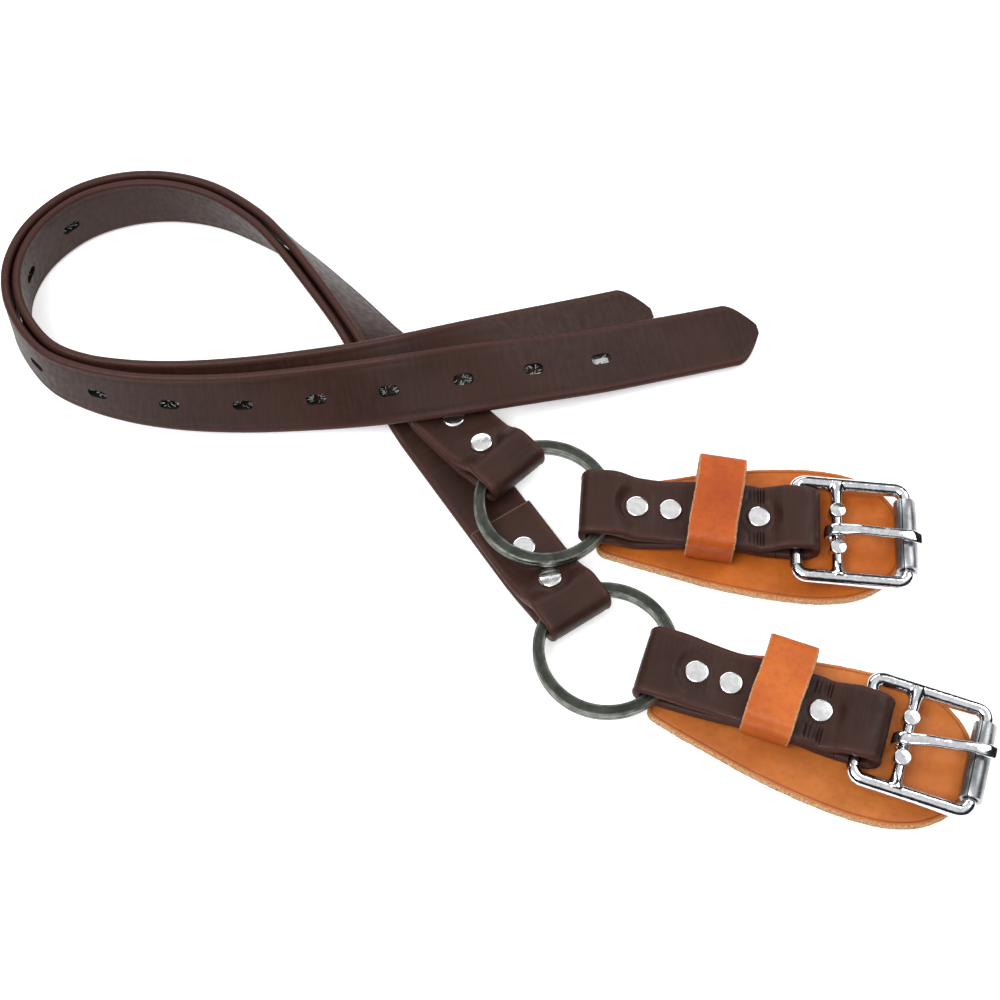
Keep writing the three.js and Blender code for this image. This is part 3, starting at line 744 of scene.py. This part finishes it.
def slot_threads(places, draw):
    """Short broken threads of the core that stand in each slot."""
    strands = []
    around = np.linspace(0, 5.03, 5)
    round_section = np.array([(THREAD_RADIUS * math.cos(a), THREAD_RADIUS * math.sin(a)) for a in around])
    for centre, tangent, axis, normal in places:
        for _ in range(SLOT_THREADS):
            angle = draw.uniform(0, 2 * math.pi)
            root = centre + tangent * (3.6 * math.cos(angle)) + axis * (1.95 * math.sin(angle))
            root = root + normal * draw.uniform(-0.9, 0.9)
            aim = centre - root + tangent * draw.uniform(-2, 2)
            aim /= np.linalg.norm(aim)
            bend = axis * draw.uniform(-0.5, 0.5) + normal * draw.uniform(-0.4, 0.4)
            length = draw.uniform(0.9, 2.0)
            line = np.array([root + aim * length * t + bend * t * t for t in (0, 0.35, 0.7, 1.0)])
            rows = swept(line, np.tile(normal, (4, 1)), round_section)[0]
            strands.append(grid_mesh("strand", rows, range(4), range(5)))
    mesh = joined(strands, "threads")
    mesh.materials.append(MATERIALS["threads"])
    return mesh


def strap_rivets(spec):
    """Foot, slope along the strap, direction and height of each rivet of a long strap."""
    along, across, base = strap_axes(spec)
    origin = base + ORIGIN
    heights = spec["heights"]
    reach = 2
    rivets = []
    for a in spec["rivets"]:
        slope = along * 2 * reach + UP * (height_at(heights, a + reach) - height_at(heights, a - reach))
        slope /= np.linalg.norm(slope)
        top = height_at(TAIL_GAP, a) + STRAP_THICK / 2
        foot = origin + along * a + UP * height_at(heights, a)
        rivets.append((foot, slope, np.cross(slope, across), top))
    return rivets


def add_long_strap(side):
    spec = SIDES[side]
    draw = random.Random(spec["seed"])
    points, widths, scales = long_strap_line(spec)
    section = strap_section()
    rows, tangent, axis, normal = swept(points, widths, section, scales)
    run = distances(points)
    rivets = strap_rivets(spec)
    tail = outer_face(section, normal) * (run < spec["tail_end"] - 20)[:, None]
    seats = [(foot + upright * (top - CAP_DEPTH), upright) for foot, _, upright, top in rivets]
    rows = seated(rows, tail, seats)
    raw = np.zeros((len(points), 1))
    raw[0] = 1
    mesh = grid_mesh(f"{side}_long_strap", rows, run, section[:, 0],
                     marks={"rim": section[None, :, 2], "raw": raw, "crease": 0.0})
    shaded(mesh)
    mesh.materials.append(MATERIALS["strap"])
    places = slot_places(points, axis, tangent, normal)
    cutter = new_object("cutter", slot_cutters(places, draw))

    def cut_slots(work):
        modifier = work.modifiers.new("slots", "BOOLEAN")
        modifier.operation = "DIFFERENCE"
        modifier.solver = "EXACT"
        modifier.material_mode = "TRANSFER"
        modifier.object = cutter

    cut_mesh = applied(mesh, cut_slots)
    bpy.data.objects.remove(cutter)
    add_piece(f"{side}_long_strap_webbing", cut_mesh, "long_straps", "strap", [f"{side}_long_strap"])
    add_piece(f"{side}_slot_threads", slot_threads(places, draw), "long_straps", "strap")
    for i, (foot, slope, upright, top) in enumerate(rivets, 1):
        place = Matrix(np.stack([slope, np.cross(upright, slope), upright], axis=1).tolist()).to_4x4()
        place.translation = Vector(foot * MM)
        add_rivet(f"{side}_strap_rivet_{i}", place, -STRAP_THICK / 2, top, "long_straps")


def add_buckle_strap(side, place, bars):
    """One strip: from the seam round the heel bar, back over, round the ring and under to the seam."""
    spec = SIDES[side]
    ring_z = spec["ring"][2]
    low, high = ring_z - FOLD_GAP / 2, ring_z + FOLD_GAP / 2
    under = [(RING_OUTER / 2, low), *UNDER_LAYER]
    over = [(RING_OUTER / 2 - 0.5, high), *OVER_LAYER]
    heel_z = bars["heel"][1]
    radius = (WIRE + STRAP_THICK) / 2 + GAP
    path = [(u, height_at(under, u)) for u in np.arange(SEAM, FOLD_U, 0.8)]
    path += [(FOLD_U + radius * math.cos(a), heel_z + radius * math.sin(a))
             for a in np.linspace(-math.pi / 2, math.pi / 2, 17)]
    path += [(u, height_at(over, u)) for u in np.arange(FOLD_U - 1, FOLD_START, -0.8)]
    path += fold_turn(low, high, 10)
    path += [(u, height_at(under, u)) for u in np.linspace(FOLD_START + 0.5, SEAM - GAP, 82)]
    line = resampled(relaxed(path, 4), BUCKLE_STRAP_STEP)
    points = np.stack([line[:, 0], np.zeros(len(line)), line[:, 1]], axis=1)
    section = strap_section()
    rows, _, _, normal = swept(points, np.tile([0.0, 1.0, 0.0], (len(points), 1)), section)
    rows, crease = creased(rows, points, normal, section, spec["buckle_rivets"])
    body = f"{side}_buckle_strap"
    mesh = grid_mesh(body, rows, distances(points), section[:, 0],
                     marks={"rim": section[None, :, 2], "raw": 0.0, "crease": crease})
    mesh.transform(place)
    add_piece(f"{body}_webbing", mesh, body, "strap", [body])


def outer_face(section, normal):
    """1 where a point lies on the strap's upward face, fading to 0 round its rims."""
    return np.clip(section[None, :, 1] * np.sign(normal[:, 2])[:, None] / 1.2, 0, 1)


def seated(rows, facing, seats):
    """Levels the face under each rivet's cap. Seats are points with the directions of their rivets."""
    rows = rows.copy()
    for point, upright in seats:
        offset = rows - point
        height = offset @ upright
        away = np.linalg.norm(offset - height[..., None] * upright, axis=-1)
        part = np.clip((SEAT_REACH - away) / SEAT_FADE, 0, 1)
        weight = part * part * (3 - 2 * part) * facing * (np.abs(height) < STRAP_THICK + 0.8)
        rows -= (height * weight)[..., None] * upright
    return rows


def creased(rows, points, normal, section, rivets):
    """Shapes the upper layer: level seats for the rivets, short creases beside the last one, and edges
    that wander a little. Returns the rows and how far each point lies in a crease."""
    u, z = points[:, 0], points[:, 2]
    v = section[:, 0]
    upper = np.clip((z - 8.6) / 0.6, 0, 1)[:, None]
    facing = outer_face(section, normal) * upper
    seat_depth, crease_depth, crease_width = 0.2, 0.5, 0.26
    faces = [height_at(OVER_LAYER, rivet) + STRAP_THICK / 2 - seat_depth for rivet in rivets]
    shaped = seated(rows, facing, [(np.array([rivet, 0, face]), UP) for rivet, face in zip(rivets, faces)])
    offsets = [-3.5, -2.1, -0.7, 0.7, 2.1]
    lines = sum(np.exp(-((u - rivets[-1] - offset) / crease_width) ** 2) for offset in offsets)
    reach = np.clip((np.abs(v) - 4.6) / 0.8, 0, 1) * np.clip((11.8 - np.abs(v)) / 1.2, 0, 1)
    crease = lines[:, None] * reach[None, :] * facing
    shaped[..., 2] -= crease_depth * crease
    wander = 0.35 * np.sin(u / 9.0) + 0.2 * np.sin(u / 4.1 + 1.0)
    sideways = wander[:, None] * (v / HALF)[None, :] - 0.3 * (np.abs(v) / HALF)[None, :]
    shaped[..., 1] += sideways * upper * 0.6
    return shaped, crease


# ---- rivets ----

def lathe_mesh(name, profile, sides=48):
    """Turned about Z: profile is (radius, height) from the axis below to the axis above."""
    angles = np.linspace(0, 2 * math.pi, sides, endpoint=False)
    rows = np.array([[(r * math.cos(a), r * math.sin(a), h) for a in angles] for r, h in profile])
    return grid_mesh(name, rows, distances(np.array(profile)), angles * 3)


def add_rivet(name, place, under, top, body):
    """A flanged post below and a low domed cap that sits in the strap's face."""
    post = [(0.05, under), (2.6, under), (3.2, under + 0.12), (3.4, under + 0.35), (3.3, under + 0.62),
            (2.4, under + 0.8), (2.0, under + 1.0), (2.0, top), (0.05, top)]
    low = top - 0.22
    rim = CAP_RADIUS
    cap = [(0.05, low), (rim - 0.5, low), (rim - 0.15, low + 0.05), (rim, low + 0.25), (rim, low + 0.6)]
    cap += [(rim - 0.75 + 0.75 * math.cos(a), low + 0.6 + 0.5 * math.sin(a)) for a in (0.35, 0.7, 1.05, 1.4)]
    cap += [(r, low + CAP_HEIGHT - 0.14 * (r / 3.3) ** 2) for r in (3.1, 2.4, 1.6, 0.8, 0.05)]
    for part, profile in (("post", post), ("cap", cap)):
        mesh = lathe_mesh(f"{name}_{part}", profile)
        mesh.transform(place)
        add_piece(f"{name}_{part}_metal", mesh, body, "rivet_nickel", [f"{name}_{part}"], angle=55)


# ---- ring ----

def add_split_ring(side, place):
    """Two flat coils of one wire, with a step where it climbs from the lower coil to the upper one."""
    spec = SIDES[side]
    turn = 2 * math.pi
    climb, notch, behind_strap = math.radians(16), math.radians(2.5), 7
    angles = np.linspace(0.0, 2 * turn - climb - notch, 400)
    rise = np.clip((angles - (turn - climb)) / climb, 0, 1)
    coil = RING_THICK / 2 - 0.05
    z = (rise * rise * (3 - 2 * rise) - 0.5) * (RING_THICK - coil)
    turned = math.atan2(place[1][0], place[0][0])
    start = math.radians(spec["heading"] - behind_strap) - turned
    mean = (RING_OUTER - RING_BAR) / 2
    radial = np.stack([np.cos(angles + start), np.sin(angles + start), np.zeros(len(angles))], axis=1)
    x, y, soft, cut = RING_BAR / 2, coil / 2, 0.32, 0.09
    corners = [(x - soft, -y), (x - cut, cut - y), (x, soft - y)]
    corners += [(px, -py) for px, py in reversed(corners)]
    flats = [(x / 2, y), (0, y), (-x / 2, y)]
    half = [(px, py, 0.7 if abs(px) > x - 0.35 else 0) for px, py in corners + flats]
    section = mirrored(half)
    rows = (radial[:, None] * (mean + section[None, :, 0, None])
            + UP * (z[:, None] + section[None, :, 1] + spec["ring"][2])[..., None])
    mesh = grid_mesh(f"{side}_split_ring", rows, angles * mean, section[:, 0] + section[:, 1],
                     marks={"rim": section[None, :, 2]})
    mesh.transform(place)
    add_piece(f"{side}_split_ring_coils", mesh, f"{side}_ring", "ring", [f"{side}_split_ring"], 50)


# ---- leather ----

def add_pad(side, place):
    """Flat leather with a rounded face edge, a pressed line inside it and a pale raw wall."""
    spec = SIDES[side]
    edge = smooth_line(PAD_HALF, 10)
    step = 1.1
    outline = resampled(np.concatenate([edge[:-1] * (1, -1), edge[::-1]]), step)
    closing = resampled([outline[-1], outline[0]], step)[1:-1]
    outline = np.concatenate([outline, closing])
    n = len(outline)
    tangent = closed_tangents(outline)
    inward = np.stack([-tangent[:, 1], tangent[:, 0]], axis=1)
    spine = np.stack([np.clip(outline[:, 0], 26, 101), np.zeros(n)], axis=1)
    top, wall = PAD_THICK, 0.12
    draw = random.Random(spec["seed"])
    fuzz = np.array([draw.uniform(-0.1, 0.1) for _ in range(n)])
    # inset, height, crease, raw
    levels = [(0.7, 0.0, 0, 0.5), (0.25, 0.1, 0, 1), (0.05, 0.7, 0, 1), (wall, 1.5, 0, 1), (0.3, 1.8, 0.6, 1),
              (wall, 2.1, 0, 1), (0.05, 2.9, 0, 1), (0.25, 3.35, 0, 1), (0.55, top - 0.05, 0, 0.3),
              (1.0, top, 0, 0), (1.35, top - 0.03, 0.4, 0), (1.5, top - 0.2, 1, 0),
              (1.65, top - 0.03, 0.4, 0), (2.2, top, 0, 0)]
    rows, facts = [], []
    for inset, height, crease, raw in levels:
        shift = inset + (fuzz if raw > 0.9 else 0)
        ring = outline + inward * np.broadcast_to(shift, n)[:, None]
        rows.append(np.column_stack([ring, np.full(n, height)]))
        facts.append((inset, crease, raw))
    last = rows[-1][:, :2]
    for part in (0.12, 0.25, 0.4, 0.55, 0.7, 0.85, 0.97):
        ring = last + (spine - last) * part
        swell = 0.12 * np.sin(ring[:, 0] / 11.0 + spec["seed"]) * math.sin(part * math.pi)
        rows.append(np.column_stack([ring, top - 0.06 + swell]))
        facts.append((3 + 15 * part, 0, 0))
    insets, creases, raws = np.array(facts).T
    mesh = grid_mesh(f"{side}_pad", rows, insets, np.arange(n) * step,
                     marks={"crease": creases[:, None], "raw": raws[:, None], "rim": 0.0})
    mesh.transform(place @ moved(*spec["pad"], 0))
    mesh.materials.append(MATERIALS[f"{side}_pad"])
    add_piece(f"{side}_pad_leather", mesh, f"{side}_buckle_strap", "pad_leather", [f"{side}_pad"], 60)


def rounded_path(width, low, high, radius, bulge):
    """A closed box-shaped loop seen end on, its top bowed up by bulge."""
    x = width / 2
    corners = [(x - radius, low + radius, -90), (x - radius, high - radius, 0),
               (radius - x, high - radius, 90), (radius - x, low + radius, 180)]
    line = rounded_loop(corners, radius, 10)
    crown = np.clip((line[:, 1] - low) / (high - low), 0, 1) ** 6
    line[:, 1] += bulge * crown * (1 - (line[:, 0] / x) ** 2)
    return line


def add_keeper(side, place):
    """A leather strip bent round both layers, its edges cut raw."""
    spec = SIDES[side]
    low, high = (corner.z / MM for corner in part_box(f"{side}_keeper"))
    thick = KEEPER["thick"]
    line = rounded_path(spec["keeper_outer"] - thick, low + thick / 2, high - thick / 2, 3.0, 1.2)
    n = len(line)
    points = np.column_stack([np.zeros(n), line])
    outward = np.cross(closed_tangents(points), [1.0, 0, 0])
    draw = random.Random(spec["seed"] + 40)
    fuzz = relaxed([draw.uniform(-0.35, 0.35) for _ in range(n)], 1)
    x, y = KEEPER["width"] / 2, thick / 2
    half = [(x - 0.7, -y, 0), (x - 0.15, 0.25 - y, 1), (x, 0.8 - y, 1), (x - 0.1, y - 0.8, 1),
            (x - 0.12, y - 0.3, 1), (x - 0.5, y - 0.02, 0.5), (x - 1.1, y, 0), (x - 3.5, y, 0), (0, y, 0),
            (3.5 - x, y, 0), (1.1 - x, y, 0)]
    section = mirrored(half)
    wobble = fuzz[:, None] * section[None, :, 2] * 0.5
    across = section[None, :, 0] + wobble + 0.35 * np.sin(line[:, :1] / 7.0)
    rows = (points[:, None] + np.array([1.0, 0, 0]) * across[..., None]
            + outward[:, None] * section[None, :, 1, None])
    turn = Matrix.Rotation(math.radians(spec["askew"]), 4, "Z")
    run = np.arange(n + 1) * LOOP_LINE_STEP
    mesh = grid_mesh(f"{side}_keeper", rows, run, section[:, 0], closed=True,
                     marks={"raw": section[None, :, 2], "crease": 0.0, "rim": 0.0})
    mesh.transform(place @ moved(*spec["keeper"], 0) @ turn)
    mesh.materials.append(MATERIALS[f"{side}_keeper"])
    add_piece(f"{side}_keeper_leather", mesh, f"{side}_keeper", "keeper_leather", [f"{side}_keeper"], 60)


# ---- buckle ----

def tube(points, radii, width_axis, closed=False):
    """A round bar of changing radius along a line."""
    points = np.asarray(points, float)
    width_axis = np.asarray(width_axis, float)
    tangent = closed_tangents(points) if closed else units(np.gradient(points, axis=0))
    axis = units(width_axis - (tangent @ width_axis)[:, None] * tangent)
    normal = np.cross(tangent, axis)
    angles = np.linspace(0, 2 * math.pi, BAR_SIDES, endpoint=False)
    ring = axis[:, None] * np.cos(angles)[None, :, None] + normal[:, None] * np.sin(angles)[None, :, None]
    rows = points[:, None] + ring * np.asarray(radii, float)[:, None, None]
    return grid_mesh("tube", rows, range(len(points) + 1), range(BAR_SIDES), closed=closed)


def frame_outline(length):
    """Middle line of the buckle frame's wire, from its heel bar at x 0 to its front bar."""
    y, bend = FRAME_WIDTH / 2, 3.6
    far = length - bend
    corners = [(bend, bend - y, 180), (far, bend - y, 270), (far, y - bend, 0), (bend, y - bend, 90)]
    line = rounded_loop(corners, bend, 15)
    return np.column_stack([line, np.zeros(len(line))])


def buckle_frame_mesh(length, centre_x):
    """Cast frame: wire loop with a thin front bar, centre bar that flares into the side rods, two studs."""
    line = frame_outline(length)
    at_front = (line[:, 0] > length - 2) & (np.abs(line[:, 1]) < 14.2)
    in_strap = (line[:, 0] < 2) & (np.abs(line[:, 1]) < 15.5)
    rod = np.where(in_strap, WIRE / 2, WIRE / 2 + 0.25)
    radii = relaxed(np.where(at_front, FRONT_BAR / 2, rod), 2)
    side = FRAME_WIDTH / 2
    y = np.linspace(-side, side, 41)
    flare = np.exp(-((side - np.abs(y)) / 3.2) ** 2)
    bar = np.column_stack([np.full(len(y), centre_x), y, np.zeros(len(y))])
    parts = [tube(line, radii, UP, closed=True), tube(bar, 2.0 + 1.25 * flare, (1, 0, 0))]
    for sign in (-1, 1):
        for reach in (-1, 1):
            arm = [(centre_x + reach * 4.6 * t * t, sign * (side - 3.0 + 2.6 * t), 0)
                   for t in (0, 0.35, 0.7, 1)]
            parts.append(tube(arm, [1.5, 1.7, 1.8, 1.9], UP))
    whole = joined(parts, "buckle_frame")
    whole.transform(Matrix.Scale(1 / MM, 4))

    def fuse(work):
        remesh = work.modifiers.new("fuse", "REMESH")
        remesh.mode = "VOXEL"
        remesh.voxel_size = VOXEL
        soften = work.modifiers.new("soften", "SMOOTH")
        soften.factor = 0.5
        soften.iterations = 5

    mesh = applied(whole, fuse)
    mesh.transform(Matrix.Scale(MM, 4))
    profile = [(0.05, -2.5), (2.6, -2.5), (2.85, -2.25), (2.85, 2.3), (2.7, 2.5), (2.5, 2.56), (0.05, 2.6)]
    studs = []
    for sign in (-1, 1):
        stud = lathe_mesh("stud", profile, 32)
        stud.transform(moved(centre_x, sign * STUD_OFFSET, 0))
        studs.append(stud)
    return joined([mesh, *studs], "buckle_frame")


def squared(value):
    """Turns a circle's sine or cosine towards a rounded square's."""
    return np.sign(value) * np.abs(value) ** 0.6


def tongue_mesh(lean):
    """Cast tongue: an eye round the centre bar, a slim bowed shank and a flattened tip."""
    reach = TONGUE["tip"]
    curl = WIRE / 2 + GAP + TONGUE["thick"] / 2
    turn = [math.radians(a) for a in range(-40, -271, -15)]
    path = [(curl * math.cos(a), curl * math.sin(a)) for a in turn]
    path += [(0.6, curl), (3, curl + 0.55), (6.5, curl + 1.25), (11, 5.2), (15, 5.35), (19, 5.75),
             (23, 5.75), (26.4, 5.1), (reach - 0.8, 4.2), (reach, 3.95)]
    line = smooth_line(path, 4)
    run = distances(line)
    tip = run[-1]
    shank = tip - 27
    width = np.interp(run, [0, shank, shank + 7, tip - 9, tip - 3.5, tip - 0.6, tip],
                      [2.2, 2.2, 1.85, 1.8, 2.45, 2.1, 1.2])
    thick = np.interp(run, [0, shank, shank + 6, tip - 9, tip - 4, tip - 0.6, tip],
                      [1.1, 1.1, 1.2, 1.15, 0.95, 0.7, 0.35])
    sides = np.linspace(0, 2 * math.pi, BAR_SIDES, endpoint=False)
    tangent = units(np.gradient(line, axis=0))
    normal = np.stack([-tangent[:, 1], tangent[:, 0]], axis=1)
    y = TONGUE["offset"] + lean * np.clip(line[:, 0], 0, None) / reach
    across = y[:, None] + width[:, None] * squared(np.cos(sides))[None, :]
    offset = thick[:, None] * squared(np.sin(sides))[None, :]
    side_view = line[:, None] + normal[:, None] * offset[..., None]
    rows = np.stack([side_view[..., 0], across, side_view[..., 1]], axis=-1)
    return grid_mesh("tongue", rows, run, sides)


def roller_mesh():
    """Sheet rolled into a tube, with the joint left as a narrow slit."""
    outer, inner, half, soft = 3.9, 2.45, 13.8, 0.28
    slit, slit_at = 0.045, math.radians(118)
    section = [(outer, soft - half), (outer, -half / 2), (outer, 0), (outer, half / 2), (outer, half - soft),
               (outer - 0.1, half - 0.1), (outer - soft, half), (inner + soft, half), (inner, half - soft),
               (inner, 0), (inner, soft - half), (inner + soft, -half), (outer - soft, -half),
               (outer - 0.1, 0.1 - half)]
    angles = np.linspace(slit, 2 * math.pi - slit, 72) + slit_at
    rows = np.array([[(r * math.cos(a), y, r * math.sin(a)) for r, y in section] for a in angles])
    rim = np.array([1.0 if abs(y) > half - 0.4 else 0.0 for _, y in section])
    return grid_mesh("roller", rows, angles * outer, [y for _, y in section], marks={"rim": rim[None, :]})


def add_buckle(side, place, bars):
    """Frame, tongue and roller, each on its own body."""
    spec = SIDES[side]
    heel_u, heel_z = bars["heel"]
    centre_x, length = (
        math.hypot(bars[bar][0] - heel_u, bars[bar][1] - heel_z) for bar in ("centre", "front"))
    seat = place @ moved(heel_u, spec["frame_offset"], heel_z) @ Matrix.Rotation(FRAME_DROOP, 4, "Y")
    parts = [
        ("frame", "casting", buckle_frame_mesh(length, centre_x), 0, "buckle_chrome", 80),
        ("tongue", "casting", tongue_mesh(spec["lean"]), centre_x, "buckle_chrome", 60),
        ("roller", "tube", roller_mesh(), length, "roller_steel", 50),
    ]
    for part, kind, mesh, x, slot, angle in parts:
        node = f"{side}_buckle_{part}"
        mesh.transform(seat @ moved(x, 0, 0))
        add_piece(f"{node}_{kind}", mesh, f"{side}_{part}", slot, [node], angle)


# ---- the whole object ----

add_camera()
add_world()
add_area_light("key", (-0.5, -0.5, 1.2), (1.1, 0.7), 17)
add_area_light("fill", (0.9, 0.4, 0.9), (0.7, 0.7), 6)
add_area_light("back", (-0.2, 1.1, 0.7), (1.2, 0.4), 6)

for side in SIDES:
    place, bars = assembly(side)
    add_long_strap(side)
    add_split_ring(side, place)
    add_buckle_strap(side, place, bars)
    add_pad(side, place)
    add_keeper(side, place)
    add_buckle(side, place, bars)
    for number, u in enumerate(SIDES[side]["buckle_rivets"], 1):
        seat = place @ moved(u, 0, 0)
        top = height_at(OVER_LAYER, u) + STRAP_THICK / 2 - CAP_DEPTH
        add_rivet(f"{side}_buckle_rivet_{number}", seat, RIVET_FOOT, top, f"{side}_buckle_strap")

bpy.ops.mesh.primitive_plane_add(size=6, location=(0, 0, cad_box[0].z - 0.0002))
floor = bpy.context.object
floor.name = "floor"
floor.data.materials.append(floor_material())

scene = bpy.context.scene
scene.view_settings.view_transform = "Standard"
scene.view_settings.look = "None"
